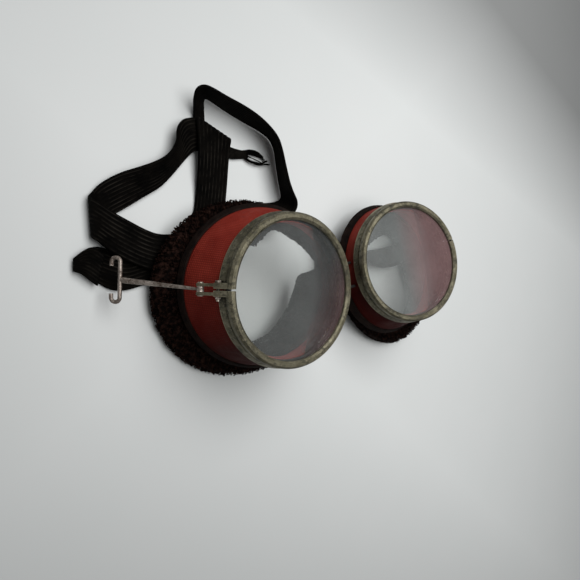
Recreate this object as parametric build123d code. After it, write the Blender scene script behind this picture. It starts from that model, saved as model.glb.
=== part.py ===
from build123d import *
from math import cos, radians, sin
import os

os.makedirs("parts", exist_ok=True)

# Every size is in millimetres and every angle in degrees.
# Each cup is drawn about its lens: z points out of the front, x to the temple, and z = 0 is the
# plane of the round opening. left_ is the cup at -X and right_ the one at +X.
lens_radius = 25.0
lens_thickness = 2.0
lens_bevel = 0.3
lip_cover = 1.5
fit_gap = 0.05

opening_radius = lens_radius - lip_cover

# The split rim is a channel that holds the lens and squeezes the collar.
lip_height = 0.5
lip_round = 0.7
lip_seat = 0.9
rim_wall = 1.0
rim_depth = 5.0
groove_depth = 0.3
groove_width = 0.4
flare = 0.7
split_width = 0.6

gasket_width = 1.6
gasket_thickness = 0.5
collar_wall = 0.8
collar_step = 0.9
collar_flange = 1.9
collar_depth = 9.0

# The ears on the split slope back along the side. They carry the clamp screw and, further out,
# the pin of the hook. ear_level is where they leave the rim's wall, behind the opening.
ear_turn = 12.4
ear_slope = 45.0
ear_level = 2.6
ear_height = 2.6
ear_root_width = 4.2
ear_root_length = 3.0
ear_plate = 0.9
ear_gap = 1.8
ear_reach = 7.4
screw_reach = 1.9
screw_radius = 0.55
screw_head_radius = 0.95
screw_head_height = 0.7
pin_radius = 0.5
pin_head_radius = 0.9
pin_head_height = 0.35

# The wire hook has a tapered stem and a cross bar with both ends curled.
hook_length = 26.9
hook_side_step = 1.9
hook_wire = 0.65
hook_eye_radius = 1.1
hook_eye_width = 1.6
stem_thin = 0.45
stem_wide = 0.95
stem_flat = 0.58
bar_half = 7.0
curl_radius = 1.5
curl_straight = 0.15
curl_tail = 2.6
left_hook_droop = 50.2
right_hook_droop = 60.0

# The red side is a slanted cone whose rear edge leans back at the temple.
side_over_lens = 1.2
side_wall = 1.2
side_spread = 2.3
side_depth = 17.5
wedge_angle = 12.9
left_side_shift_x = 1.2
left_side_shift_y = -0.7
right_side_shift_x = 0.5
right_side_shift_y = -2.5
binding_depth = 3.0
binding_wall = 2.2
binding_flare = 1.4

side_front_radius = lens_radius + side_over_lens
side_rear_radius = side_front_radius + side_spread

# Each pad is a soft ring with a crowned outside and a rounded hole. Its radii are given by how
# far they lie outside or inside the side's rear edge. The shifts are how far the outside and the
# hole drift towards the bottom, where the cup's weight pushes the pile aside.
pad_bulge = 4.5
pad_top_bulge = 1.7
pad_bottom_bulge = 3.5
pad_lining = 8.0
pad_top_lining = 5.0
pad_bottom_lining = 7.0
left_pad_shift_x = 3.8
left_pad_shift_y = 0.4
left_hole_shift_x = 3.6
left_hole_shift_y = 1.2
left_pad_rise_x = 5.7
left_pad_rise_y = 7.4
left_pad_lift = 5.3
right_pad_shift_x = 7.5
right_pad_shift_y = -5.0
right_hole_shift_x = 0.5
right_hole_shift_y = -4.0

# The pile is worn off a stretch of the left pad, down to a thin backing.
worn_start = 181.0
worn_end = 238.0
worn_backing = 1.5

# The wire loops on the nose side and the leather tab that joins the cups.
loop_wire = 0.6
loop_width = 10.0
loop_reach = 4.2
loop_depth = 8.0
loop_foot = 1.0
tab_width = 6.5
tab_thickness = 1.5
tab_gap = 0.12

# Where the photograph puts the two cups. cup_clearance is from the lens edge to the middle.
cup_clearance = 9.48
left_centre = (-lens_radius - cup_clearance, 0, 36.4)
left_front = (0.0091, -0.0454, 0.9989)
left_split = (-0.981, 0.1932, 0.0177)
right_centre = (lens_radius + cup_clearance, 0, 30.97)
right_front = (-0.2175, 0.0454, 0.975)
right_split = (0.9502, 0.2381, 0.2009)

# The strap, from its folded end at the hook to its frayed end, as the two edges of the webbing.
strap_thickness = 1.4
strap_edges = [
    ((-83.9, 20.9, 3.2), (-87.6, 11.5, 2.6)),
    ((-86.4, 24.1, 3.6), (-90.0, 14.0, 3.0)),
    ((-89.1, 23.5, 3.2), (-91.5, 16.0, 2.8)),
    ((-91.8, 21.9, 2.5), (-92.8, 16.7, 2.4)),
    ((-92.4, 20.8, 1.7), (-93.1, 17.1, 1.6)),
    ((-91.2, 21.4, 0.8), (-92.1, 16.6, 0.8)),
    ((-88.2, 23.7, 0.8), (-89.0, 14.7, 0.8)),
    ((-84.5, 24.1, 0.8), (-85.8, 11.2, 0.8)),
    ((-80.5, 21.9, 0.8), (-82.6, 8.9, 0.8)),
    ((-76.3, 19.6, 0.8), (-78.1, 8.2, 0.8)),
    ((-71.7, 20.4, 0.8), (-73.2, 8.9, 0.8)),
    ((-67.7, 21.4, 0.8), (-68.5, 9.1, 0.8)),
    ((-61.5, 22.6, 0.8), (-59.0, 10.4, 0.8)),
    ((-54.0, 26.0, 0.8), (-46.8, 15.8, 0.8)),
    ((-49.4, 31.0, 0.8), (-37.6, 26.6, 0.8)),
    ((-47.4, 37.5, 1.2), (-34.6, 37.2, 1.2)),
    ((-46.3, 45.0, 3.2), (-33.6, 45.0, 3.2)),
    ((-45.3, 52.0, 4.6), (-32.6, 51.6, 4.6)),
    ((-44.4, 59.0, 4.9), (-31.6, 55.0, 4.9)),
    ((-44.0, 64.2, 4.9), (-31.0, 56.2, 4.9)),
    ((-43.2, 65.6, 3.9), (-30.2, 57.6, 3.9)),
    ((-42.5, 65.4, 2.9), (-31.2, 55.8, 2.9)),
    ((-45.2, 65.4, 3.6), (-42.3, 53.8, 2.2)),
    ((-49.8, 64.0, 5.5), (-45.1, 54.0, 1.3)),
    ((-52.9, 60.5, 6.8), (-47.6, 52.3, 1.0)),
    ((-53.2, 56.2, 6.5), (-50.8, 49.8, 1.0)),
    ((-57.0, 51.8, 6.5), (-55.0, 46.0, 1.0)),
    ((-62.4, 49.3, 7.2), (-60.3, 41.7, 1.0)),
    ((-68.2, 47.6, 7.6), (-64.6, 39.8, 1.0)),
    ((-74.6, 46.5, 4.4), (-73.0, 35.6, 1.0)),
    ((-81.0, 43.6, 2.4), (-80.6, 32.4, 1.0)),
    ((-83.6, 41.0, 1.6), (-84.6, 28.4, 1.2)),
    ((-84.9, 39.8, 3.1), (-86.5, 26.6, 2.9)),
    ((-83.8, 38.2, 4.8), (-85.4, 25.4, 4.7)),
    ((-79.5, 34.3, 4.9), (-83.0, 22.4, 4.6)),
    ((-74.0, 30.6, 4.3), (-79.0, 19.2, 3.8)),
    ((-69.3, 27.5, 3.6), (-73.3, 15.4, 3.0)),
    ((-64.5, 25.2, 3.1), (-67.0, 12.6, 2.6)),
    ((-57.5, 24.8, 3.0), (-60.0, 12.4, 3.0)),
    ((-48.0, 29.8, 3.3), (-49.0, 17.2, 3.0)),
    ((-36.0, 32.8, 3.5), (-36.5, 20.2, 3.3)),
    ((-24.5, 33.4, 3.3), (-25.2, 21.4, 4.0)),
    ((-14.8, 32.4, 2.6), (-14.6, 23.8, 8.6)),
    ((-7.7, 33.7, 1.0), (-8.5, 29.1, 12.8)),
    ((-8.0, 40.4, 0.9), (-11.7, 36.9, 12.5)),
    ((-8.0, 47.4, 0.9), (-12.7, 45.1, 12.5)),
    ((-7.7, 54.4, 0.9), (-12.9, 51.7, 12.1)),
    ((-9.4, 59.3, 0.9), (-14.3, 57.0, 12.4)),
    ((-14.8, 62.6, 0.9), (-19.8, 62.7, 12.6)),
    ((-21.0, 65.3, 0.9), (-26.3, 67.1, 12.2)),
    ((-28.7, 69.2, 0.9), (-34.6, 70.5, 12.1)),
    ((-34.5, 72.9, 0.9), (-39.6, 72.7, 12.5)),
    ((-36.8, 73.8, 0.9), (-42.7, 73.8, 12.1)),
    ((-38.0, 72.3, 0.9), (-45.2, 72.9, 11.3)),
    ((-38.2, 70.2, 0.9), (-45.0, 70.6, 8.0)),
    ((-38.4, 68.4, 0.8), (-43.3, 69.0, 3.6)),
    ((-38.5, 65.8, 0.8), (-42.8, 66.0, 0.9)),
    ((-39.0, 62.0, 0.8), (-43.6, 59.0, 0.8)),
    ((-36.5, 58.4, 0.8), (-40.0, 54.4, 0.8)),
    ((-29.0, 55.4, 0.8), (-29.7, 50.8, 0.8)),
    ((-25.7, 54.5, 0.8), (-26.4, 51.0, 0.8)),
    ((-21.7, 53.7, 0.8), (-22.1, 51.1, 0.8)),
]


def cup_plane(centre, front, split, turn):
    """The cup's own axes, with x turned from the split to the temple."""
    about_split = Plane(origin=centre, x_dir=split, z_dir=front)
    return about_split.rotated((0, 0, -turn))


def rear_plane(shift, extra=0.0):
    """The slanted rear edge of the side, or a plane that lies extra behind it."""
    lean = radians(wedge_angle)
    depth = side_depth + shift[0] * sin(lean) / cos(lean)
    along = (sin(lean), 0, cos(lean))
    place = Vector(shift[0], shift[1], -depth) - Vector(along) * extra
    return Plane(origin=place, x_dir=(cos(lean), 0, -sin(lean)), z_dir=along)


def quarter_ring(plane, radius):
    """A circle as four quarter arcs, which a loft follows evenly."""
    arcs = [
        CenterArc((0, 0), radius, start, 90)
        for start in range(0, 360, 90)
    ]
    return Wire([plane.from_local_coords(arc) for arc in arcs])


def turned(points):
    """A ring whose section is the polygon of radius and height points."""
    outline = Polyline(*[(r, 0, z) for r, z in points], close=True)
    return revolve(make_face(outline), Axis.Z)


def rim(turn):
    """The split channel ring with the ears for the clamp screw and the hook's pin."""
    inner = lens_radius + fit_gap
    outer = inner + rim_wall
    back = -rim_depth
    mid = -rim_depth / 2
    body = turned([
        (opening_radius, 0),
        (opening_radius + lip_round, lip_height),
        (outer - lip_round, lip_height),
        (outer, lip_height - lip_round),
        (outer, mid + groove_width * 2),
        (outer - groove_depth, mid + groove_width),
        (outer - groove_depth, mid),
        (outer, mid - groove_width),
        (outer + flare, back),
        (inner, back),
        (inner, -lip_seat),
        (opening_radius, -lip_seat),
    ])
    lug = ear_axes() * ears() - Cylinder(inner, rim_depth * 3)
    split = Pos(opening_radius - lip_round, 0, 0) * Box(
        lip_cover + lip_round + rim_wall + ear_root_length + ear_height,
        split_width,
        rim_depth * 3,
        align=(Align.MIN, Align.CENTER, Align.CENTER),
    )
    return Rot(0, 0, turn) * (Part() + body + lug - split)


def ear_axes():
    """The ears' own axes, from the rim's wall, with x along the ears."""
    return Pos(lens_radius + fit_gap + rim_wall, 0, -ear_level) * Rot(0, ear_slope, 0)


def ears():
    """Two plates on a root block, drilled for the clamp screw and the hook's pin."""
    body = Pos(ear_root_length, 0, 0) * Box(
        ear_root_length + ear_height,
        ear_root_width,
        ear_height,
        align=(Align.MAX, Align.CENTER, Align.CENTER),
    )
    for way in (1, -1):
        across = way * (ear_gap + ear_plate) / 2
        body += Pos(0, across, 0) * Box(
            ear_reach, ear_plate, ear_height, align=(Align.MIN, Align.CENTER, Align.CENTER)
        )
        body += Pos(ear_reach, across, 0) * Rot(90, 0, 0) * Cylinder(ear_height / 2, ear_plate)
    for reach, radius in ((ear_reach, pin_radius), (screw_reach, screw_radius)):
        body -= Pos(reach, 0, 0) * Rot(90, 0, 0) * Cylinder(radius, ear_root_width * 2)
    return body


def clamp_screw(turn):
    """The screw that closes the split."""
    place = Rot(0, 0, turn) * ear_axes() * Pos(screw_reach, 0, 0) * Rot(90, 0, 0)
    half = ear_root_width / 2
    head = Pos(0, 0, half) * Cylinder(
        screw_head_radius, screw_head_height, align=(Align.CENTER, Align.CENTER, Align.MIN)
    )
    slot = Pos(0, 0, half + screw_head_height) * Box(
        screw_head_radius * 3, screw_head_height / 2, screw_head_height
    )
    shank_length = ear_root_width + screw_head_height * 2
    shank = Pos(0, 0, half) * Cylinder(
        screw_radius, shank_length, align=(Align.CENTER, Align.CENTER, Align.MAX)
    )
    return place * (head - slot + shank)


def clamp_nut(turn):
    """The hexagon nut on the far end of the clamp screw."""
    face = Rot(0, 0, turn) * ear_axes() * Pos(screw_reach, ear_root_width / 2, 0)
    blank = extrude(RegularPolygon(screw_head_radius, 6), screw_head_height)
    bore = Cylinder(screw_radius + fit_gap, screw_head_height * 3)
    return face * Rot(-90, 0, 0) * (blank - bore)


def hook_pin(turn):
    """The rivet through both ears that the hook swings on."""
    half = ear_gap / 2 + ear_plate
    body = Cylinder(pin_radius, half * 2)
    head = Cylinder(pin_head_radius, pin_head_height)
    for way in (1, -1):
        body += Pos(0, 0, way * (half + pin_head_height / 2)) * head
    return Rot(0, 0, turn) * ear_axes() * Pos(ear_reach, 0, 0) * Rot(90, 0, 0) * body


def lens():
    """The flat glass, bevelled on both edges."""
    disc = Pos(0, 0, -lip_seat) * Cylinder(
        lens_radius, lens_thickness, align=(Align.CENTER, Align.CENTER, Align.MAX)
    )
    return chamfer(disc.edges().filter_by(GeomType.CIRCLE), lens_bevel)


def gasket():
    """The washer between the glass and the collar's flange."""
    top = -lip_seat - lens_thickness
    outer = lens_radius - fit_gap
    return turned([
        (outer - gasket_width, top),
        (outer, top),
        (outer, top - gasket_thickness),
        (outer - gasket_width, top - gasket_thickness),
    ])


def collar():
    """The inner tube, with the flange that carries the lens."""
    top = -lip_seat - lens_thickness - gasket_thickness
    outer = lens_radius - fit_gap
    back = outer - collar_step
    inner = back - collar_wall
    seat = outer - collar_flange
    return turned([
        (seat, top),
        (outer, top),
        (outer, -rim_depth),
        (back, -rim_depth),
        (back, -collar_depth),
        (inner, -collar_depth),
        (inner, top - collar_wall),
        (seat, top - collar_wall),
    ])


def cone(front_radius, rear_radius, front, rear):
    """A straight-sided solid from a circle on the front plane to one on the rear plane."""
    ends = [Wire.make_circle(front_radius, front), Wire.make_circle(rear_radius, rear)]
    return Solid.make_loft(ends, True)


def side(shift):
    """The red wall from the rim's back to the binding."""
    front = Plane(origin=(0, 0, -rim_depth - fit_gap))
    rear = rear_plane(shift)
    outer = cone(side_front_radius, side_rear_radius, front, rear)
    inner = cone(side_front_radius - side_wall, side_rear_radius - side_wall, front, rear)
    return Part() + outer - inner


def binding(shift):
    """The tape along the rear edge of the side, a little proud of it and flared backwards."""
    half = binding_wall / 2
    middle = side_rear_radius - side_wall / 2
    round_off = half / 2
    ring = turned([
        (middle - half + round_off, 0),
        (middle + half - round_off, 0),
        (middle + half, -round_off),
        (middle + half + binding_flare, -binding_depth),
        (middle - half + binding_flare, -binding_depth),
        (middle - half, -round_off),
    ])
    return rear_plane(shift).location * ring


def pad_planes(side_shift, shift, bottom):
    """The planes of the pad's top, middle and bottom, which drift by shift."""
    top = rear_plane(side_shift, binding_depth)
    under = slid(bottom, side_shift[0] + shift[0], side_shift[1] + shift[1])
    middle = Plane(
        origin=(top.origin + under.origin + Vector(shift[0], shift[1], 0)) / 2,
        x_dir=top.x_dir + under.x_dir,
        z_dir=top.z_dir + under.z_dir,
    )
    return top, middle, under


def pad(side_shift, shift, hole_shift, bottom):
    """The soft ring between the binding and a bottom plane, both given in the cup's axes."""
    bulges = (pad_top_bulge, pad_bulge, pad_bottom_bulge)
    linings = (pad_top_lining, pad_lining, pad_bottom_lining)
    outer = Solid.make_loft([
        quarter_ring(plane, side_rear_radius + bulge)
        for plane, bulge in zip(pad_planes(side_shift, shift, bottom), bulges)
    ])
    hole = Solid.make_loft([
        quarter_ring(plane, side_rear_radius - lining)
        for plane, lining in zip(pad_planes(side_shift, hole_shift, bottom), linings)
    ])
    return Part() + outer - hole


def worn_stretch(side_shift):
    """A wedge below the backing that the worn part of the pile used to fill."""
    far = lens_radius * 2
    middle = (worn_start + worn_end) / 2
    corners = [
        (far * cos(radians(angle)), far * sin(radians(angle)))
        for angle in (worn_start, middle, worn_end)
    ]
    outline = make_face(Polyline((0, 0), *corners, close=True))
    top = rear_plane(side_shift, binding_depth + worn_backing)
    return extrude(top.location * outline, amount=-far)


def slid(plane, x, y):
    """The same plane, with its origin at this x and y."""
    along = plane.z_dir
    fall = (x - plane.origin.X) * along.X + (y - plane.origin.Y) * along.Y
    return Plane(origin=(x, y, plane.origin.Z - fall / along.Z), x_dir=plane.x_dir, z_dir=along)


def wire_hook(turn, droop):
    """The hook with its eye round the pin, swung down by droop from the lens plane."""
    hinge = Rot(0, 0, turn) * ear_axes() * Pos(ear_reach, 0, 0)
    place = hinge * Rot(0, droop - ear_slope, 0)
    bore = Cylinder(pin_radius + fit_gap, hook_eye_width)
    eye = Rot(90, 0, 0) * (Cylinder(hook_eye_radius, hook_eye_width) - bore)
    near = Plane(origin=(hook_eye_radius - stem_thin / 2, 0, 0), x_dir=(0, 1, 0), z_dir=(1, 0, 0))
    far = Plane(origin=(hook_length, -hook_side_step, 0), x_dir=(0, 1, 0), z_dir=(1, 0, 0))
    stem = Solid.make_loft([
        Wire.make_ellipse(stem_thin, stem_thin, near),
        Wire.make_ellipse(stem_wide, stem_flat, far),
    ], True)
    middle = -hook_side_step
    outermost = hook_length + curl_radius * 2
    path = FilletPolyline(
        (outermost, middle + bar_half - curl_tail, 0),
        (outermost, middle + bar_half, 0),
        (hook_length, middle + bar_half, 0),
        (hook_length, middle - bar_half, 0),
        (outermost, middle - bar_half, 0),
        (outermost, middle - bar_half + curl_tail, 0),
        radius=curl_radius - curl_straight / 2,
    )
    section = Plane(origin=path @ 0, z_dir=path % 0) * Circle(hook_wire)
    return place * (Part() + eye + stem + sweep(section, path=path))


def nose_loop():
    """A wire staple whose two feet stand in the side, its bar square to the nose line."""
    bar = loop_bar_distance()
    foot = side_front_radius - side_wall + loop_foot
    half = loop_width / 2
    points = [
        (-foot, -half, -loop_depth),
        (-bar, -half, -loop_depth),
        (-bar, half, -loop_depth),
        (-foot, half, -loop_depth),
    ]
    path = FilletPolyline(*points, radius=loop_wire * 2)
    section = Plane(origin=points[0], z_dir=(-1, 0, 0)) * Circle(loop_wire)
    return Part() + sweep(section, path=path)


def loop_bar_distance():
    return side_front_radius + loop_reach


def webbing(edges, thickness):
    """A closed band of flat facets through the pairs of edge points."""
    middles = [(Vector(a) + Vector(b)) / 2 for a, b in edges]
    rings = []
    for i, (a, b) in enumerate(edges):
        before = middles[max(i - 1, 0)]
        after = middles[min(i + 1, len(edges) - 1)]
        across = Vector(b) - Vector(a)
        up = across.cross(after - before).normalized() * (thickness / 2)
        rings.append((Vector(a) + up, Vector(b) + up, Vector(b) - up, Vector(a) - up))
    corners = []
    for here, there in zip(rings, rings[1:]):
        for i in range(len(here)):
            j = (i + 1) % len(here)
            corners += [(here[i], here[j], there[j]), (here[i], there[j], there[i])]
    for end in (rings[0], rings[-1]):
        corners += [(end[0], end[1], end[2]), (end[0], end[2], end[3])]
    return Solid(Shell([Face(Wire.make_polygon(points, close=True)) for points in corners]))


def nose_tab(left_plane, right_plane):
    """The leather tab: an eye round the bar of each loop and the flat piece between them."""
    eye_radius = loop_wire + tab_gap + tab_thickness
    bars = [
        plane.location * Pos(-loop_bar_distance(), 0, -loop_depth) * Rot(90, 0, 0)
        for plane in (left_plane, right_plane)
    ]
    start, end = (bar.position for bar in bars)
    along = end - start
    flat = Plane(origin=start, x_dir=along, z_dir=along.cross(left_plane.y_dir))
    body = flat.location * Box(
        along.length, tab_width, tab_thickness, align=(Align.MIN, Align.CENTER, Align.CENTER)
    )
    for bar in bars:
        body += bar * Cylinder(eye_radius, tab_width)
    for bar in bars:
        body -= bar * Cylinder(loop_wire + tab_gap, tab_width * 2)
    return body


def pad_bottom(plane, height, rise_x, rise_y):
    """The pad's bottom in the cup's axes: a plane that has this height under the lens."""
    under = Plane(origin=(plane.origin.X, plane.origin.Y, height)).rotated((rise_y, -rise_x, 0))
    drop = (plane.origin - under.origin).dot(under.z_dir) / plane.z_dir.dot(under.z_dir)
    normal = Vector(
        under.z_dir.dot(plane.x_dir), under.z_dir.dot(plane.y_dir), under.z_dir.dot(plane.z_dir)
    )
    return Plane(origin=(0, 0, -drop), x_dir=(1, 0, 0), z_dir=normal)


pieces = {}


def make_cup(name, plane, turn, droop, side_shift, pad_shift, hole_shift, bottom):
    """All the pieces of one cup, drawn in its own axes and put in place."""
    shell = side(side_shift)
    loop = nose_loop()
    local = {
        "rim": rim(turn),
        "clamp_screw": clamp_screw(turn),
        "clamp_nut": clamp_nut(turn),
        "hook_pin": hook_pin(turn),
        "lens": lens(),
        "gasket": gasket(),
        "collar": collar(),
        "side": shell - loop,
        "binding": binding(side_shift),
        "pad": pad(side_shift, pad_shift, hole_shift, bottom),
        "nose_loop": loop,
        "hook": wire_hook(turn, droop),
    }
    for part_name, shape in local.items():
        pieces[f"{name}_{part_name}"] = plane.location * shape


left_plane = cup_plane(left_centre, left_front, left_split, -ear_turn)
right_plane = cup_plane(right_centre, right_front, right_split, ear_turn)
left_bottom = pad_bottom(left_plane, left_pad_lift, left_pad_rise_x, left_pad_rise_y)
right_bottom = pad_bottom(right_plane, 0, 0, 0)
left_side_shift = (left_side_shift_x, left_side_shift_y)
make_cup(
    "left",
    left_plane,
    -ear_turn,
    left_hook_droop,
    left_side_shift,
    (left_pad_shift_x, left_pad_shift_y),
    (left_hole_shift_x, left_hole_shift_y),
    left_bottom,
)
make_cup(
    "right",
    right_plane,
    ear_turn,
    right_hook_droop,
    (right_side_shift_x, right_side_shift_y),
    (right_pad_shift_x, right_pad_shift_y),
    (right_hole_shift_x, right_hole_shift_y),
    right_bottom,
)
pieces["nose_tab"] = nose_tab(left_plane, right_plane)
pieces["strap"] = webbing(strap_edges, strap_thickness)

# The floor trims the left pad flat where the cup's weight rests on it, and the wear opens it.
reach = lens_radius * 10
floor = Box(reach, reach, reach, align=(Align.CENTER, Align.CENTER, Align.MAX))
pieces["left_pad"] -= floor
pieces["left_pad"] -= left_plane.location * worn_stretch(left_side_shift)

boxes = [piece.bounding_box() for name, piece in pieces.items() if name != "strap"]
centre = Vector(
    (min(box.min.X for box in boxes) + max(box.max.X for box in boxes)) / 2,
    (min(box.min.Y for box in boxes) + max(box.max.Y for box in boxes)) / 2,
    0,
)
for name, piece in pieces.items():
    export_step(Pos(-centre) * piece, f"parts/{name}.step")
    print(name, len(piece.solids()), round(piece.volume, 1))
print("moved by", -centre)
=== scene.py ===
"""Aviator flying goggles lying on their pads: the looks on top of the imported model.

The shapes are sized in millimetres, which MM turns into metres. Materials and stage are in metres.
Each cup has its own axes, as in the model: z out of the lens, x to the temple, and z = 0 in the
plane of the round opening.
"""

import bmesh
import bpy
import math
import numpy as np
from mathutils import Matrix, Vector, noise


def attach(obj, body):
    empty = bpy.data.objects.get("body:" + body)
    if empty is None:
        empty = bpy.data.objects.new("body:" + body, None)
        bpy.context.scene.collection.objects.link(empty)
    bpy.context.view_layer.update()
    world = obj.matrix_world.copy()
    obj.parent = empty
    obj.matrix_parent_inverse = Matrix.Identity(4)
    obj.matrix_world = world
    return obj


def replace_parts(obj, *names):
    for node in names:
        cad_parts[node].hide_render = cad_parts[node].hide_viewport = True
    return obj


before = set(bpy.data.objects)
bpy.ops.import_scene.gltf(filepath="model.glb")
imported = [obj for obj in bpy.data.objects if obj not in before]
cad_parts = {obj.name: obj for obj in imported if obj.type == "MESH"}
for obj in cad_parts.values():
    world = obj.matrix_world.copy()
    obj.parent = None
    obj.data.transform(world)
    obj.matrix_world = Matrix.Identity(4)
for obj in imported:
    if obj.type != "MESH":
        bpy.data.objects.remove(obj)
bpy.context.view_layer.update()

MM = 0.001
# The model's origin lies under the centre of the box of all its pieces but the strap. This takes
# a point from where the cups, the strap and the camera are measured to there.
ORIGIN_SHIFT = Vector((-0.933, 4.408, 0))

# Camera: the photograph is square, with this focal length in its pixels.
PHOTO_PIXELS = 580
FOCAL_PIXELS = 450
SENSOR = 36
CLIP_START = 0.01  # metres
CAMERA_PLACE = Vector((-124.93, 17.74, 154.03))
CAMERA_RIGHT = Vector((0.78272, -0.14578, 0.60506))
CAMERA_UP = Vector((0.18551, 0.98264, -0.00323))
CAMERA_BACK = Vector((-0.59409, 0.11477, 0.79617))

# The cups: centre of the round opening and the direction that it faces; direction of the rim's
# split, and its angle from the cup's x in degrees; drift along the cup's x and y of the side, and
# from there on of the pad and of its hole; the plane under the pad, as its height under the centre
# and its normal; the worn stretch of pile in degrees; and how far out the hole's edge lies at each
# angle in degrees (below 0 the pile swells into the hole).
CUPS = {
    "left": {
        "centre": (-34.48, 0, 36.4),
        "front": (0.0091, -0.0454, 0.9989),
        "split": (-0.981, 0.1932, 0.0177),
        "turn": -12.4,
        "side": (1.2, -0.7),
        "pad": (3.8, 0.4),
        "hole": (3.6, 1.2),
        "rest": (5.3, (-0.099, -0.128, 0.987)),
        "worn": (181, 249),
        "hole_swell": (
            (0, 0), (100, 0), (123, 1), (138, 1), (150, 2), (166, 3.3), (176, 5), (184, 7.5),
            (188, 0.5), (196, -1.5), (206, -3), (222, -5), (239, -5.4), (247, -6), (252, -1),
            (275, 0),
        ),
    },
    "right": {
        "centre": (34.48, 0, 30.97),
        "front": (-0.2175, 0.0454, 0.975),
        "split": (0.9502, 0.2381, 0.2009),
        "turn": 12.4,
        "side": (0.5, -2.5),
        "pad": (7.5, -5.0),
        "hole": (0.5, -4.0),
        "rest": (0, (0, 0, 1)),
        "worn": None,
        "hole_swell": (
            (0, -1.2), (20, -1), (32, 0.8), (45, 2.4), (58, 2.9), (68, 1.6), (78, -1.2),
            (90, -4.2), (105, -5), (150, -5), (220, -1), (300, 7), (310, 6.6), (320, 5.2),
            (332, 2.8), (344, 0.8),
        ),
    },
}
RIM_DEPTH = 5.0
AROUND = 240  # steps round a side, tape or pad

# Side: radii at its front and rear edge, wall and middle depth. Its rear edge leans by WEDGE
# degrees.
SIDE_FRONT = 26.2
SIDE_REAR = 28.5
SIDE_WALL = 1.2
SIDE_DEPTH = 17.5
WEDGE = 12.9
SIDE_TUCK = 0.05  # gap between the rim's rear plane and the cloth
SIDE_STEPS = 26
LONG_CREASES = ((5.0, 3, 0.3),)  # size, seed and height, as in every table of ripples here
SHORT_CREASES = ((2.2, 4, 0.1),)
CREASE_STRETCH = (1, 1, 0.35)  # draws the long creases out in depth

# Tape over the side's rear edge.
BINDING_DEPTH = 3.0
BINDING_WALL = 2.2
BINDING_FLARE = 1.4
BINDING_CORDS = 4
CORD_STEPS = 8
CORD_RELIEF = 0.16
BINDING_EDGE = 0.55  # share of the wall that is left at the tape's front edges
BINDING_RISE = 8  # how fast it grows to the whole wall
BINDING_WAVES = ((3.0, 5, 0.12),)

# Pad: outer radius and radius of the hole at the top, in the middle and underneath.
FLOOR_GAP = 0.2  # least height of its core above the floor
PAD_SECTION = 64
PAD_OUTER = (30.2, 33.0, 32.0)
PAD_HOLE = (23.5, 20.5, 21.5)
PAD_SQUARENESS = 3.2  # 2 gives a round section
SWELL_ROUNDNESS = 0.5  # the lower, the sooner below the top the hole has its whole swell
WORN_BACKING = 1.5  # height of the backing that is left
WORN_EDGE = 5  # degrees over which the pile wears off
WORN_SHRINK = 0.3  # share of its width by which the worn pad's inside moves out
LUMPS = ((2.2, 1, 0.35), (0.9, 2, 0.45))
THIN = 3.0  # nearer than this to the middle of its section, the skin moves less

# Tufts of the pile: each is a short curl that rises from under the pad's skin.
PILE_INSET = 1.2  # depth of the core's skin under the pad's
PILE_SEEDS = {"left": 5, "right": 6}
TUFTS = 15000
TUFT_POINTS = 7
TUFT_ROOT = 0.4  # depth of a tuft's root under the core's skin
TUFT_RISE = (0.8, 1.5)
TUFT_ARCH = 0.7  # share of half a wave over which a tuft rises and falls
TUFT_CURL = (0.15, 0.38)
TUFT_TURNS = (0.5, 1.1)
TUFT_LEAN = 0.6
TUFT_RADIUS = (0.15, 0.24)
TUFT_TAPER = 0.6
TUFTS_WORN_OFF = 0.7  # share of the tufts that are gone from the worn stretch
TUFTS_WORN_DOWN = 0.5  # share of their rise that the others have lost there

# A loose tongue of the right pad's pile that lies across its hole, halfway down the pad: x and y
# of its middle, from the hole's centre, and its half width.
TONGUE = (
    (20, 8, 5.6), (15, 7, 5.3), (9, 6.4, 5.2), (3, 6.8, 4.8), (-3, 8.4, 3.9), (-8, 10.5, 2.6),
)
TONGUE_THICK = 1.6
TONGUE_STEPS = 60
TONGUE_SECTION = 32
TONGUE_BLUNT = 8  # the higher, the later the tongue narrows to its tip
TONGUE_TIP = 0.02
TONGUE_BENDS = 3  # degree of the curves through its rows
TONGUE_LUMPS = ((2.2, 11, 0.4), (0.9, 12, 0.35))

# Nose tab: place of the wire bars on each cup, their wire, and the leather round them.
LOOP_BAR = 30.4
LOOP_DEPTH = 8.0
LOOP_WIRE = 0.6
TAB_WIDTH = 6.5
LEATHER = 0.8
LEATHER_GAP = 0.12
LEATHER_WRAP = 280  # degrees of the leather's turn round each bar
WRAP_START = 40
WRAP_STEPS = 24
TAB_STEPS = 12
TAB_SECTION = 24
TAB_PINCH = 6  # how fast the leather closes up beside a bar
TAB_PRESS = 0.98  # draws its two layers between the bars together until they touch
TAB_CORNERS = (0.4, 0.5)  # how round the strip's section is: 1 is an ellipse, 0 a box

RIPPLE_SHIFT = (7.3, 3.1, 1.7)  # moves the noise of each next seed to another place
RIB_ROUNDNESS = 0.7  # of the cords in the tape and the ribs in the strap; lower is fuller

# Millimetres of cloth between two steps of a piece's grid, along it or round it and across it.
SIDE_UV = (0.73, 0.55)
BINDING_UV = (0.75, 0.1)
TAB_UV = (0.4, 0.3)
STRAP_UV = (0.9, 0.17)

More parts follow.
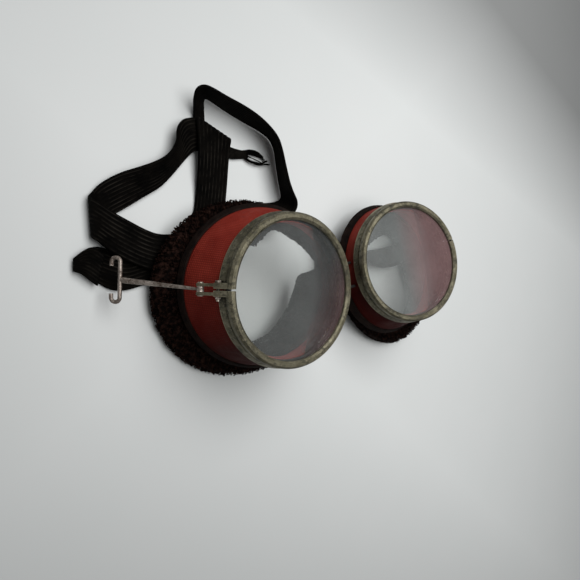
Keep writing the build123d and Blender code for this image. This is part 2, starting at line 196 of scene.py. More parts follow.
# Strap, with its two edges from its folded end at the hook to its frayed end.
STRAP_THICKNESS = 1.4
STRAP_EDGE = 0.35  # share of the thickness that is left at the edges
STRAP_RIBS = 9
RIB_STEPS = 8
RIB_RELIEF = 0.16
STRAP_BENDS = 8  # points of the strap's curve to each pair of its edges
STRAP_EDGES = [
    ((-83.9, 20.9, 3.2), (-87.6, 11.5, 2.6)),
    ((-86.4, 24.1, 3.6), (-90.0, 14.0, 3.0)),
    ((-89.1, 23.5, 3.2), (-91.5, 16.0, 2.8)),
    ((-91.8, 21.9, 2.5), (-92.8, 16.7, 2.4)),
    ((-92.4, 20.8, 1.7), (-93.1, 17.1, 1.6)),
    ((-91.2, 21.4, 0.8), (-92.1, 16.6, 0.8)),
    ((-88.2, 23.7, 0.8), (-89.0, 14.7, 0.8)),
    ((-84.5, 24.1, 0.8), (-85.8, 11.2, 0.8)),
    ((-80.5, 21.9, 0.8), (-82.6, 8.9, 0.8)),
    ((-76.3, 19.6, 0.8), (-78.1, 8.2, 0.8)),
    ((-71.7, 20.4, 0.8), (-73.2, 8.9, 0.8)),
    ((-67.7, 21.4, 0.8), (-68.5, 9.1, 0.8)),
    ((-61.5, 22.6, 0.8), (-59.0, 10.4, 0.8)),
    ((-54.0, 26.0, 0.8), (-46.8, 15.8, 0.8)),
    ((-49.4, 31.0, 0.8), (-37.6, 26.6, 0.8)),
    ((-47.4, 37.5, 1.2), (-34.6, 37.2, 1.2)),
    ((-46.3, 45.0, 3.2), (-33.6, 45.0, 3.2)),
    ((-45.3, 52.0, 4.6), (-32.6, 51.6, 4.6)),
    ((-44.4, 59.0, 4.9), (-31.6, 55.0, 4.9)),
    ((-44.0, 64.2, 4.9), (-31.0, 56.2, 4.9)),
    ((-43.2, 65.6, 3.9), (-30.2, 57.6, 3.9)),
    ((-42.5, 65.4, 2.9), (-31.2, 55.8, 2.9)),
    ((-45.2, 65.4, 3.6), (-42.3, 53.8, 2.2)),
    ((-49.8, 64.0, 5.5), (-45.1, 54.0, 1.3)),
    ((-52.9, 60.5, 6.8), (-47.6, 52.3, 1.0)),
    ((-53.2, 56.2, 6.5), (-50.8, 49.8, 1.0)),
    ((-57.0, 51.8, 6.5), (-55.0, 46.0, 1.0)),
    ((-62.4, 49.3, 7.2), (-60.3, 41.7, 1.0)),
    ((-68.2, 47.6, 7.6), (-64.6, 39.8, 1.0)),
    ((-74.6, 46.5, 4.4), (-73.0, 35.6, 1.0)),
    ((-81.0, 43.6, 2.4), (-80.6, 32.4, 1.0)),
    ((-83.6, 41.0, 1.6), (-84.6, 28.4, 1.2)),
    ((-84.9, 39.8, 3.1), (-86.5, 26.6, 2.9)),
    ((-83.8, 38.2, 4.8), (-85.4, 25.4, 4.7)),
    ((-79.5, 34.3, 4.9), (-83.0, 22.4, 4.6)),
    ((-74.0, 30.6, 4.3), (-79.0, 19.2, 3.8)),
    ((-69.3, 27.5, 3.6), (-73.3, 15.4, 3.0)),
    ((-64.5, 25.2, 3.1), (-67.0, 12.6, 2.6)),
    ((-57.5, 24.8, 3.0), (-60.0, 12.4, 3.0)),
    ((-48.0, 29.8, 3.3), (-49.0, 17.2, 3.0)),
    ((-36.0, 32.8, 3.5), (-36.5, 20.2, 3.3)),
    ((-24.5, 33.4, 3.3), (-25.2, 21.4, 4.0)),
    ((-14.8, 32.4, 2.6), (-14.6, 23.8, 8.6)),
    ((-7.7, 33.7, 1.0), (-8.5, 29.1, 12.8)),
    ((-8.0, 40.4, 0.9), (-11.7, 36.9, 12.5)),
    ((-8.0, 47.4, 0.9), (-12.7, 45.1, 12.5)),
    ((-7.7, 54.4, 0.9), (-12.9, 51.7, 12.1)),
    ((-9.4, 59.3, 0.9), (-14.3, 57.0, 12.4)),
    ((-14.8, 62.6, 0.9), (-19.8, 62.7, 12.6)),
    ((-21.0, 65.3, 0.9), (-26.3, 67.1, 12.2)),
    ((-28.7, 69.2, 0.9), (-34.6, 70.5, 12.1)),
    ((-34.5, 72.9, 0.9), (-39.6, 72.7, 12.5)),
    ((-36.8, 73.8, 0.9), (-42.7, 73.8, 12.1)),
    ((-38.0, 72.3, 0.9), (-45.2, 72.9, 11.3)),
    ((-38.2, 70.2, 0.9), (-45.0, 70.6, 8.0)),
    ((-38.4, 68.4, 0.8), (-43.3, 69.0, 3.6)),
    ((-38.5, 65.8, 0.8), (-42.8, 66.0, 0.9)),
    ((-39.0, 62.0, 0.8), (-43.6, 59.0, 0.8)),
    ((-36.5, 58.4, 0.8), (-40.0, 54.4, 0.8)),
    ((-29.0, 55.4, 0.8), (-29.7, 50.8, 0.8)),
    ((-25.7, 54.5, 0.8), (-26.4, 51.0, 0.8)),
    ((-21.7, 53.7, 0.8), (-22.1, 51.1, 0.8)),
]

# The frayed end: how many threads follow each line over the floor, in millimetres.
FRAY = (
    (18, ((-23.5, 53.9), (-20.5, 54.1), (-18, 53.6), (-16, 52.7), (-14.3, 51.5))),
    (12, ((-23.5, 52.8), (-20, 52.9), (-17, 52.1), (-15, 51.2), (-14, 50.3))),
    (5, ((-24, 51.8), (-21.5, 50.4), (-19, 49.4), (-16, 48.7), (-13.8, 49.6), (-11.6, 50.3))),
    (5, ((-24, 51.5), (-21.5, 49.6), (-18.5, 48.5), (-15.9, 48.2), (-13.2, 48.6), (-11.4, 48.4))),
    (4, ((-23, 52.4), (-20.5, 51.4), (-18.5, 50.5), (-16.2, 49.5), (-14.8, 48.9))),
)
THREAD_SEED = 11
THREAD_RADIUS = 0.16
THREAD_POINTS = 12
THREAD_LENGTH = (0.85, 1)  # share of the line that a thread reaches
THREAD_SHIFT = 0.35
THREAD_SPREAD = 0.45
THREAD_GATHER = 0.4  # how much closer the threads lie at their ends
THREAD_WAVE = 0.12
THREAD_WAVES = 9
THREAD_HEIGHT = (0.3, 1.3)
THREAD_ARCH = 1.2

# Colours of the cloths and of the glass, linear. Each cloth's two main colours are mixed in clouds.
RED_FRESH = (0.35, 0.046, 0.03)
RED_WORN = (0.24, 0.024, 0.016)
RED_BLOT = (0.07, 0.01, 0.008)
RED_WEAVE = (0.1, 0.011, 0.008)
# Painted shade on the lower side of the red cloth.
RED_PAINTED_SHADE = (0.02, 0.0008, 0.0006)
RED_SHADE_REACH = 0.027  # metres over which the painted shade comes to its full share
LINING = ((0.6, 0.08, 0.06), (0.38, 0.045, 0.035))
LINING_RING = (0.12, 0.016, 0.013)
LINING_PITCH = 0.0011  # metres from ring to ring
PILE = ((0.0016, 0.0007, 0.0005), (0.026, 0.0118, 0.0085))
TAPE = ((0.003, 0.0022, 0.002), (0.015, 0.0085, 0.0065))
WEBBING = ((0.0005, 0.00045, 0.0004), (0.0034, 0.0028, 0.0022))
# Painted highlight on the webbing's ribs.
WEBBING_RIB_HIGHLIGHT = (0.024, 0.021, 0.017)
LEATHER_COLOURS = ((0.03, 0.014, 0.009), (0.085, 0.042, 0.025))
GLASS_TINT = (0.965, 0.975, 0.97, 1)
GLASS_INDEX = 1.5
FILM = (0.54, 0.57, 0.56)
# Pink of the film: painted red light of the cloth inside the cup.
FILM_PAINTED_RED_LIGHT = (0.86, 0.52, 0.52)

# How much lighter or darker than its colours a metal gets where it is rubbed and has painted
# glints, where it is specked, and where dirt and painted shade gather in its corners.
RUBBED_AND_GLINT = 1.7
SPECKED = 0.4
CORNER_DIRT_AND_SHADE = 0.25
METALS = {
    "rim": {
        "bright": (0.19, 0.174, 0.12), "dull": (0.085, 0.078, 0.05), "stain": (0.035, 0.031, 0.019),
        "stain_share": 0.5, "grain": 2500, "roughness": 0.48,
    },
    "steel": {
        "bright": (0.36, 0.33, 0.28), "dull": (0.17, 0.15, 0.12), "stain": (0.06, 0.035, 0.02),
        "stain_share": 0.5, "grain": 3000, "roughness": 0.42,
    },
    "wire": {
        "bright": (0.4, 0.35, 0.31), "dull": (0.15, 0.12, 0.1), "stain": (0.05, 0.03, 0.02),
        "stain_share": 0.5, "grain": 3000, "roughness": 0.42,
    },
}

# Stage: the floor's colours, and its painted shade: how it darkens along a direction, from start
# to end, up to a share and to a colour.
FLOOR_SIZE = 4.0
FLOOR = ((0.655, 0.675, 0.668), (0.665, 0.682, 0.676))
FLOOR_PAINTED_SHADE = (
    ((0.45, 0.89, 0), 0.11, 0.22, 0.7, (0.1, 0.1, 0.1)),
    ((-0.75, -0.66, 0), 0.02, 0.16, 0.5, (0.1, 0.105, 0.105)),
    ((-0.5, 0.87, 0), 0.03, 0.16, 0.35, (0.1, 0.105, 0.105)),
)
WINDOW_SIZE = (0.36, 0.6)
WINDOW_PLACE = (0.02, 0.15, 0.5)
WINDOW_POWER = 3.5
SKY_STRENGTH = 0.15


def place(point):
    """A point in millimetres, as measured, in the model's metres."""
    return (Vector(point) + ORIGIN_SHIFT) * MM


def make_camera():
    """The photograph's own view."""
    data = bpy.data.cameras.new("camera")
    data.sensor_width = SENSOR
    data.lens = SENSOR * FOCAL_PIXELS / PHOTO_PIXELS
    data.clip_start = CLIP_START
    camera = bpy.data.objects.new("camera", data)
    bpy.context.scene.collection.objects.link(camera)
    turn = Matrix((CAMERA_RIGHT, CAMERA_UP, CAMERA_BACK)).transposed()
    camera.matrix_world = Matrix.Translation(place(CAMERA_PLACE)) @ turn.to_4x4()
    bpy.context.scene.camera = camera


# Meshes

TINY = 1e-12  # added to a length before a division by it
UPRIGHT = 0.8  # a strand steeper than this takes its section from x, any other from z


def mesh_piece(name, points, faces, uvs=None):
    """A smooth piece from points in metres; uvs has a pair for each corner of each face."""
    mesh = bpy.data.meshes.new(name)
    points = np.asarray(points, dtype=np.float32)
    faces = np.asarray(faces, dtype=np.int32)
    sides = faces.shape[1]
    mesh.vertices.add(len(points))
    mesh.vertices.foreach_set("co", points.ravel())
    mesh.loops.add(faces.size)
    mesh.loops.foreach_set("vertex_index", faces.ravel())
    mesh.polygons.add(len(faces))
    mesh.polygons.foreach_set("loop_start", np.arange(0, faces.size, sides, dtype=np.int32))
    mesh.polygons.foreach_set("loop_total", np.full(len(faces), sides, dtype=np.int32))
    if uvs is not None:
        layer = mesh.uv_layers.new(name="cloth")
        layer.data.foreach_set("uv", np.asarray(uvs, dtype=np.float32).ravel())
    mesh.update(calc_edges=True)
    mesh.validate()
    mesh.polygons.foreach_set("use_smooth", np.ones(len(mesh.polygons), dtype=bool))
    piece = bpy.data.objects.new(name, mesh)
    bpy.context.scene.collection.objects.link(piece)
    return piece


def skin(name, grid, closed=(False, False), uv=(1.0, 1.0)):
    """A skin over a grid of points, rows by columns; each way may close on itself."""
    grid = np.asarray(grid, dtype=float)
    rows, columns = grid.shape[:2]
    i, j = np.meshgrid(
        np.arange(rows if closed[0] else rows - 1),
        np.arange(columns if closed[1] else columns - 1),
        indexing="ij",
    )
    i, j = i.ravel(), j.ravel()
    corners = [(i, j), (i, j + 1), (i + 1, j + 1), (i + 1, j)]
    faces = np.stack([(a % rows) * columns + b % columns for a, b in corners], axis=1)
    uvs = np.stack([np.stack([a * uv[0], b * uv[1]], axis=1) for a, b in corners], axis=1)
    return mesh_piece(name, grid.reshape(-1, 3), faces, uvs)


def turned_out(piece):
    """The piece with all its faces looking outwards."""
    bm = bmesh.new()
    bm.from_mesh(piece.data)
    bmesh.ops.recalc_face_normals(bm, faces=bm.faces)
    bm.to_mesh(piece.data)
    bm.free()
    return piece


def capped(piece):
    """The piece with its open ends closed."""
    bm = bmesh.new()
    bm.from_mesh(piece.data)
    open_edges = [edge for edge in bm.edges if edge.is_boundary]
    bmesh.ops.holes_fill(bm, edges=open_edges)
    bmesh.ops.recalc_face_normals(bm, faces=bm.faces)
    bm.to_mesh(piece.data)
    bm.free()
    return piece


def strands(name, paths, radii, sides=4):
    """Many thin closed tubes: paths is strands by points by 3, radii strands by points."""
    paths = np.asarray(paths, dtype=float)
    count, length = paths.shape[:2]
    along = np.gradient(paths, axis=1)
    along /= np.linalg.norm(along, axis=2, keepdims=True) + TINY
    guide = np.where(np.abs(along[..., 2:]) < UPRIGHT, (0.0, 0.0, 1.0), (1.0, 0.0, 0.0))
    first = np.cross(along, guide)
    first /= np.linalg.norm(first, axis=2, keepdims=True) + TINY
    second = np.cross(along, first)
    angle = np.arange(sides) * 2 * math.pi / sides
    ring = (
        first[:, :, None, :] * np.cos(angle)[None, None, :, None]
        + second[:, :, None, :] * np.sin(angle)[None, None, :, None]
    )
    points = paths[:, :, None, :] + ring * np.asarray(radii)[:, :, None, None]
    base = np.arange(count)[:, None, None] * length * sides
    step = np.arange(length - 1)[None, :, None] * sides
    side = np.arange(sides)[None, None, :]
    after = (side + 1) % sides
    here, there = base + step, base + step + sides
    faces = np.stack([here + side, here + after, there + after, there + side], axis=-1)
    faces = faces.reshape(-1, 4)
    first_ring = base[:, 0] + np.arange(sides)[::-1][None, :]
    last_ring = base[:, 0] + (length - 1) * sides + np.arange(sides)[None, :]
    faces = np.concatenate([faces, first_ring, last_ring])
    return mesh_piece(name, points.reshape(-1, 3), faces)


# The cups' own axes

def cup_axes(cup):
    """The matrix from a cup's own axes, in metres, to the model."""
    z = Vector(cup["front"]).normalized()
    x = Vector(cup["split"])
    x = (x - z * x.dot(z)).normalized()
    axes = Matrix((x, z.cross(x), z)).transposed().to_4x4()
    turn = Matrix.Rotation(math.radians(-cup["turn"]), 4, "Z")
    return Matrix.Translation(place(cup["centre"])) @ axes @ turn


def rear_ring(cup, behind):
    """Origin, x and y of the slanted plane this far behind the side's rear edge, in millimetres."""
    lean = math.radians(WEDGE)
    depth = SIDE_DEPTH + cup["side"][0] * math.tan(lean)
    along = np.array((math.sin(lean), 0, math.cos(lean)))
    origin = np.array((*cup["side"], -depth)) - along * behind
    return origin, np.array((math.cos(lean), 0, -math.sin(lean))), np.array((0, 1.0, 0))


def rest_ring(cup, shift):
    """The same for the plane under the pad, for a ring that drifts by shift from the side."""
    height, normal = cup["rest"]
    axes = cup_axes(cup)
    inverse = axes.to_3x3().inverted()
    along = (inverse @ Vector(normal)).normalized()
    through = axes.inverted() @ place((*cup["centre"][:2], height))
    through = through / MM
    x = cup["side"][0] + shift[0]
    y = cup["side"][1] + shift[1]
    z = through.z - ((x - through.x) * along.x + (y - through.y) * along.y) / along.z
    across = Vector((1, 0, 0))
    across = (across - along * across.dot(along)).normalized()
    return np.array((x, y, z)), np.array(across), np.array(along.cross(across))


def to_model(cup, points):
    """Points in millimetres of a cup's own axes, in the model's metres."""
    axes = np.array(cup_axes(cup))
    return np.asarray(points) * MM @ axes[:3, :3].T + axes[:3, 3]


def ripple(points, size, seed):
    """A smooth random number between about -1 and 1 for each point."""
    shift = Vector([seed * v for v in RIPPLE_SHIFT])
    flat = np.asarray(points).reshape(-1, 3)
    values = [noise.noise(Vector(p) / size + shift) for p in flat]
    return np.array(values).reshape(np.asarray(points).shape[:-1])


def ripples(points, table):
    """The sum of several ripples, from a table of size, seed and height."""
    return sum(ripple(points, size, seed) * height for size, seed, height in table)


# Pads, sides and tape

def blend3(values, v):
    """The quadratic through three values, at v from 0 to 1."""
    a, b, c = values
    v = np.asarray(v)
    return a * (1 - v) * (1 - 2 * v) + b * 4 * v * (1 - v) + c * v * (2 * v - 1)


def pad_ring(cup, shift, radii, turn, down):
    """Points on the outside or in the hole of the pad, at angles turn; down is 0 at the top."""
    top, under = rear_ring(cup, BINDING_DEPTH), rest_ring(cup, shift)
    middle = [(a + b) / 2 for a, b in zip(top, under)]
    middle[0] = middle[0] + np.array((*shift, 0)) / 2
    down = down[..., None]
    origin, x, y = (blend3(rings, down) for rings in zip(top, middle, under))
    turn = turn[..., None]
    return origin + blend3(radii, down) * (np.cos(turn) * x + np.sin(turn) * y)


def pad_point(cup, turn, out, down):
    """A point of the pad: out is 0 at the hole and 1 at the outside."""
    outer = pad_ring(cup, cup["pad"], PAD_OUTER, turn, down)
    hole = pad_ring(cup, cup["hole"], PAD_HOLE, turn, down)
    angles, swells = zip(*cup["hole_swell"])
    shape = np.sin(np.minimum(down, 0.5) * math.pi) ** SWELL_ROUNDNESS
    shape = np.maximum(shape, worn_share(cup, turn))
    swell = np.interp(np.degrees(turn), angles, swells, period=360) * shape
    across = outer - hole
    hole = hole + across / np.linalg.norm(across, axis=-1, keepdims=True) * swell[..., None]
    return hole + (outer - hole) * out[..., None]


def pad_surface(cup, around, section):
    """Points of the pad's rounded skin at angles around and places round its section."""
    turn = np.linspace(0, 2 * math.pi, around, endpoint=False)[:, None]
    place_round = np.linspace(0, 2 * math.pi, section, endpoint=False)[None, :]
    c, s = np.cos(place_round), np.sin(place_round)
    power = 2 / PAD_SQUARENESS
    out = 0.5 + 0.5 * np.sign(c) * np.abs(c) ** power
    down = 0.5 - 0.5 * np.sign(s) * np.abs(s) ** power
    turn, out, down = np.broadcast_arrays(turn, out, down)
    worn = worn_share(cup, turn)
    half = np.full_like(turn, 0.5)
    top, under = (pad_point(cup, turn, half, np.full_like(turn, end)) for end in (0, 1))
    height = np.linalg.norm(top - under, axis=-1)
    down = down * (1 - worn * (1 - WORN_BACKING / height))
    out = out + (1 - out) * WORN_SHRINK * worn
    return pad_point(cup, turn, out, down)


def worn_share(cup, turn):
    """1 where the pile is worn off down to its backing and 0 where it is whole."""
    if not cup["worn"]:
        return np.zeros_like(turn)
    start, end = cup["worn"]
    inside = np.minimum(np.degrees(turn) - start, end - np.degrees(turn))
    return np.clip(inside / WORN_EDGE, 0, 1)


def make_pad(name, cup, body):
    """The pile ring: a lumpy core under short curled tufts."""
    points = pad_surface(cup, AROUND, PAD_SECTION)
    away = points - points.mean(axis=1, keepdims=True)
    reach = np.linalg.norm(away, axis=2, keepdims=True)
    away /= reach
    lumps = ripples(points, LUMPS)
    core = points + away * (lumps[..., None] - PILE_INSET) * np.minimum(1, reach / THIN)
    core = to_model(cup, core)
    core[..., 2] = np.maximum(core[..., 2], FLOOR_GAP * MM)
    pad = turned_out(skin(f"{name}_pad", core, closed=(True, True)))
    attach(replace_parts(pad, f"{name}_pad"), body)
    pad.data.materials.append(MATERIALS["pile"])
    pile = make_pile(name, cup, points, away)
    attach(pile, body)
    pile.data.materials.append(MATERIALS["pile"])


def make_pile(name, cup, points, away):
    """Short curled tufts all over the pad, fewer where it is worn."""
    random = np.random.default_rng(PILE_SEEDS[name])
    around, section = points.shape[:2]
    row = random.integers(0, around, TUFTS)
    column = random.integers(0, section, TUFTS)
    worn = worn_share(cup, row * 2 * math.pi / around)
    keep = random.uniform(0, 1, TUFTS) > worn * TUFTS_WORN_OFF
    row, column, worn = row[keep], column[keep], worn[keep]
    count = len(row)
    each = (count, 1, 1)
    normal = away[row, column]
    root = points[row, column] - normal * (PILE_INSET + TUFT_ROOT)
    ring = points[(row + 1) % around, column] - points[row, column]
    ring /= np.linalg.norm(ring, axis=1, keepdims=True)
    across = np.cross(normal, ring)
    t = np.linspace(0, 1, TUFT_POINTS)[None, :, None]
    size = random.uniform(*TUFT_CURL, each)
    rise = random.uniform(*TUFT_RISE, each) * (1 - TUFTS_WORN_DOWN * worn[:, None, None])
    phase = random.uniform(0, 2 * math.pi, each)
    spin = random.choice([-1, 1], each) * random.uniform(*TUFT_TURNS, each) * 2 * math.pi
    lean_ring = random.uniform(-TUFT_LEAN, TUFT_LEAN, each)
    lean_across = random.uniform(-TUFT_LEAN, TUFT_LEAN, each)
    curl = phase + spin * t
    path = root[:, None, :] + normal[:, None, :] * rise * np.sin(t * math.pi * TUFT_ARCH)
    path = path + ring[:, None, :] * (size * (np.cos(curl) - np.cos(phase)) + lean_ring * t)
    path = path + across[:, None, :] * (size * (np.sin(curl) - np.sin(phase)) + lean_across * t)
    thick = random.uniform(*TUFT_RADIUS, (count, 1)) * (1 - TUFT_TAPER * t[..., 0] ** 3)
    path = to_model(cup, path)
    path[..., 2] = np.maximum(path[..., 2], thick * MM)
    return strands(f"{name}_pile", path, thick * MM)


def make_tongue(name, cup, body):
    """The loose tongue of pile across the pad's hole."""
    stations = np.array(TONGUE)
    steps = np.arange(len(stations))
    along = np.linspace(0, steps[-1], TONGUE_STEPS)
    curves = [np.polyfit(steps, column, TONGUE_BENDS) for column in stations.T]
    x, y, half = (np.polyval(curve, along) for curve in curves)
    half = half * np.sqrt(np.clip(1 - (along / along[-1]) ** TONGUE_BLUNT, TONGUE_TIP, 1))
    place_round = np.linspace(0, 2 * math.pi, TONGUE_SECTION, endpoint=False)
    width = half[:, None] * np.cos(place_round)
    height = TONGUE_THICK * np.sin(place_round) * (half / half.max())[:, None]
    centre, x_way, y_way = (
        (a + b) / 2 for a, b in zip(rear_ring(cup, BINDING_DEPTH), rest_ring(cup, cup["hole"]))
    )
    normal = np.cross(x_way, y_way)
    points = (
        centre + (x[:, None] + 0 * width)[..., None] * x_way
        + (y[:, None] + width)[..., None] * y_way + height[..., None] * normal
    )
    points = points + normal * ripples(points, TONGUE_LUMPS)[..., None]
    tongue = turned_out(skin(f"{name}_pad_tongue", to_model(cup, points), closed=(False, True)))
    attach(tongue, body)
    tongue.data.materials.append(MATERIALS["pile"])


def make_side(name, cup, body):
    """The red wall: a thin coated cloth, pulled over two hoops and slightly creased."""
    turn = np.linspace(0, 2 * math.pi, AROUND, endpoint=False)[:, None]
    origin, x, y = rear_ring(cup, 0)
    circle = np.cos(turn)[..., None], np.sin(turn)[..., None]

    def wall(radius_front, radius_rear, v):
        front = np.concatenate([radius_front * circle[0], radius_front * circle[1]], axis=-1)
        front = np.concatenate([front, np.full_like(circle[0], -RIM_DEPTH - SIDE_TUCK)], axis=-1)
        rear = origin + radius_rear * (circle[0] * x + circle[1] * y)
        return front + (rear - front) * v[None, :, None]

    down = np.linspace(0, 1, SIDE_STEPS)
    outer = wall(SIDE_FRONT, SIDE_REAR, down)
    inner = wall(SIDE_FRONT - SIDE_WALL, SIDE_REAR - SIDE_WALL, down[::-1])
    out = outer / np.linalg.norm(outer * (1, 1, 0), axis=-1, keepdims=True) * (1, 1, 0)
    slack = np.sin(down * math.pi)[None, :]
    crease = ripples(outer * CREASE_STRETCH, LONG_CREASES) + ripples(outer, SHORT_CREASES)
    crease = crease * slack
    outer = outer + out * crease[..., None]
    inner = inner + out[:, ::-1] * crease[:, ::-1, None]
    grid = np.concatenate([outer, inner], axis=1)
    piece = skin(f"{name}_side", to_model(cup, grid), closed=(True, True), uv=SIDE_UV)
    turned_out(piece)
    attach(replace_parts(piece, f"{name}_side"), body)
    piece.data.materials.append(MATERIALS[f"{name}_red"])
    piece.data.materials.append(MATERIALS["lining"])
    for face in piece.data.polygons:
        if min(corner % grid.shape[1] for corner in face.vertices) >= len(down):
            face.material_index = 1


def make_binding(name, cup, body):
    """The woven tape folded over the rear edge, with its cords running round."""
    turn = np.linspace(0, 2 * math.pi, AROUND, endpoint=False)[:, None]
    middle = SIDE_REAR - SIDE_WALL / 2
    half = BINDING_WALL / 2
    steps = BINDING_CORDS * CORD_STEPS
    profile = []
    for way in (1, -1):
        for k in range(steps + 1):
            part = k / steps
            from_front = part if way > 0 else 1 - part
            depth = BINDING_DEPTH * from_front
            swell = abs(math.sin(math.pi * part * BINDING_CORDS)) ** RIB_ROUNDNESS
            end = min(1, from_front * BINDING_RISE)
            flare = BINDING_FLARE * depth / BINDING_DEPTH
            wall = half * (BINDING_EDGE + (1 - BINDING_EDGE) * end)
            thick = wall - CORD_RELIEF + CORD_RELIEF * swell
            profile.append((middle + flare + way * thick, depth))
    grid = []
    for radius, depth in profile:
        origin, x, y = rear_ring(cup, depth)
        grid.append(origin + radius * (np.cos(turn) * x + np.sin(turn) * y))
    grid = np.stack(grid, axis=1)
    out = grid - rear_ring(cup, BINDING_DEPTH / 2)[0]
    out /= np.linalg.norm(out, axis=-1, keepdims=True)
    grid = grid + out * ripples(grid, BINDING_WAVES)[..., None]
    piece = skin(f"{name}_binding", to_model(cup, grid), closed=(True, True), uv=BINDING_UV)
    turned_out(piece)
    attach(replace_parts(piece, f"{name}_binding"), body)
    piece.data.materials.append(MATERIALS["tape"])


# Nose tab

def make_tab():
    """The leather strip looped round both nose wires and flat between them."""
    bars = []
    for name in ("left", "right"):
        axes = cup_axes(CUPS[name])
        spot = axes @ Vector((-LOOP_BAR * MM, 0, -LOOP_DEPTH * MM))
        way = axes.to_3x3() @ Vector((0, 1 if name == "left" else -1, 0))
        bars.append((spot, way.normalized()))
    (start, side_a), (end, side_b) = bars
    along = (end - start).normalized()
    loop = (LOOP_WIRE + LEATHER_GAP + LEATHER / 2) * MM
    flat = LEATHER / 2 * MM
    span = (end - start).length
    outline = []
    for middle, first, way in ((0, WRAP_START, -1), (span, WRAP_START - 180, 1)):
        for k in range(WRAP_STEPS + 1):
            angle = math.radians(first + LEATHER_WRAP * k / WRAP_STEPS)
            outline.append((middle + loop * math.cos(angle), loop * math.sin(angle)))
        for k in range(1, TAB_STEPS):
            part = k / TAB_STEPS if way < 0 else 1 - k / TAB_STEPS
            settle = min(1, TAB_PINCH * min(part, 1 - part))
            outline.append((span * part, way * (loop + (flat - loop) * settle) * TAB_PRESS))
    middle_line = np.array(outline)
    tangent = np.roll(middle_line, -1, axis=0) - np.roll(middle_line, 1, axis=0)
    tangent /= np.linalg.norm(tangent, axis=1, keepdims=True)
    outward = np.stack([tangent[:, 1], -tangent[:, 0]], axis=1)
    section = []
    half_width = TAB_WIDTH / 2 * MM
    for k in range(TAB_SECTION):
        angle = 2 * math.pi * k / TAB_SECTION
        c, s = math.cos(angle), math.sin(angle)
        wide, high = (abs(v) ** power for v, power in zip((c, s), TAB_CORNERS))
        section.append((math.copysign(wide, c) * half_width, math.copysign(high, s) * flat))
    rows = []
    for point, away in zip(middle_line, outward):
        part = min(max(point[0] / span, 0), 1)
        side = (side_a.lerp(side_b * (1 if side_a.dot(side_b) > 0 else -1), part)).normalized()
        up = side.cross(along).normalized()
        row = []
        for w, h in section:
            forward, upward = point + away * h
            row.append(start + along * forward + up * upward + side * w)
        rows.append(row)
    piece = turned_out(skin("nose_tab", rows, closed=(True, True), uv=TAB_UV))
    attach(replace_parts(piece, "nose_tab"), "nose_tab")
    piece.data.materials.append(MATERIALS["leather"])


# Strap

def smooth_line(points):
    """The points along a quadratic NURBS line with these control points."""
    curve = bpy.data.curves.new("line", "CURVE")
    curve.dimensions = "3D"
    curve.resolution_u = STRAP_BENDS
    spline = curve.splines.new("NURBS")
    spline.points.add(len(points) - 1)
    for control, point in zip(spline.points, points):
        control.co = (*place(point), 1)
    spline.order_u = 3
    spline.use_endpoint_u = True
    carrier = bpy.data.objects.new("line", curve)
    bpy.context.scene.collection.objects.link(carrier)
    mesh = bpy.data.meshes.new_from_object(carrier)
    line = [v.co.copy() for v in mesh.vertices]
    bpy.data.objects.remove(carrier)
    bpy.data.meshes.remove(mesh)
    return line


def make_strap():
    """The ribbed webbing between its two edge lines."""
    first = smooth_line([a for a, b in STRAP_EDGES])
    second = smooth_line([b for a, b in STRAP_EDGES])
    columns = STRAP_RIBS * RIB_STEPS
    half = STRAP_THICKNESS / 2 * MM
    relief = RIB_RELIEF * MM
    middle = [(a + b) / 2 for a, b in zip(first, second)]
    grid = []
    for i, (a, b) in enumerate(zip(first, second)):
        along = middle[min(i + 1, len(middle) - 1)] - middle[max(i - 1, 0)]
        up = (b - a).cross(along).normalized()
        row = []
        for way in (1, -1):
            for c in range(columns + 1):
                t = c / columns if way > 0 else 1 - c / columns
                edge = min(1, min(t, 1 - t) * 2 * STRAP_RIBS)
                round_off = math.sqrt(edge * (2 - edge))
                rib = abs(math.sin(math.pi * STRAP_RIBS * t)) ** RIB_ROUNDNESS
                core = (half - relief) * (STRAP_EDGE + (1 - STRAP_EDGE) * round_off)
                height = core + relief * rib
                row.append(a.lerp(b, t) + up * way * height)
        grid.append(row)
    strap = capped(skin("strap", grid, closed=(False, True), uv=STRAP_UV))
    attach(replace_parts(strap, "strap"), "left_cup")
    strap.data.materials.append(MATERIALS["webbing"])
    threads = make_threads()


def make_threads():
    """The loose threads at the frayed end."""
    random = np.random.default_rng(THREAD_SEED)
    paths = []
    for count, guide in FRAY:
        guide = np.array(guide)
        for k in range(count):
            reach = (len(guide) - 1) * random.uniform(*THREAD_LENGTH)
            steps = np.linspace(0, reach, THREAD_POINTS)
            x, y = (np.interp(steps, range(len(guide)), column) for column in guide.T)
            t = steps / steps[-1]
            x = x + random.uniform(-THREAD_SHIFT, THREAD_SHIFT)
            spread = random.uniform(-THREAD_SPREAD, THREAD_SPREAD) * (1 - THREAD_GATHER * t)
            y = y + spread + THREAD_WAVE * np.sin(t * THREAD_WAVES + k)
            z = random.uniform(*THREAD_HEIGHT)
            z = z + random.uniform(0, THREAD_ARCH) * np.sin(t * math.pi)
            paths.append(np.stack([x, y, z], axis=1))
    paths = (np.array(paths) + np.array(ORIGIN_SHIFT)) * MM
    radii = np.full(paths.shape[:2], THREAD_RADIUS * MM)
    threads = strands("strap_threads", paths, radii)
    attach(threads, "left_cup")
    threads.data.materials.append(MATERIALS["webbing"])
    return threads


# Materials

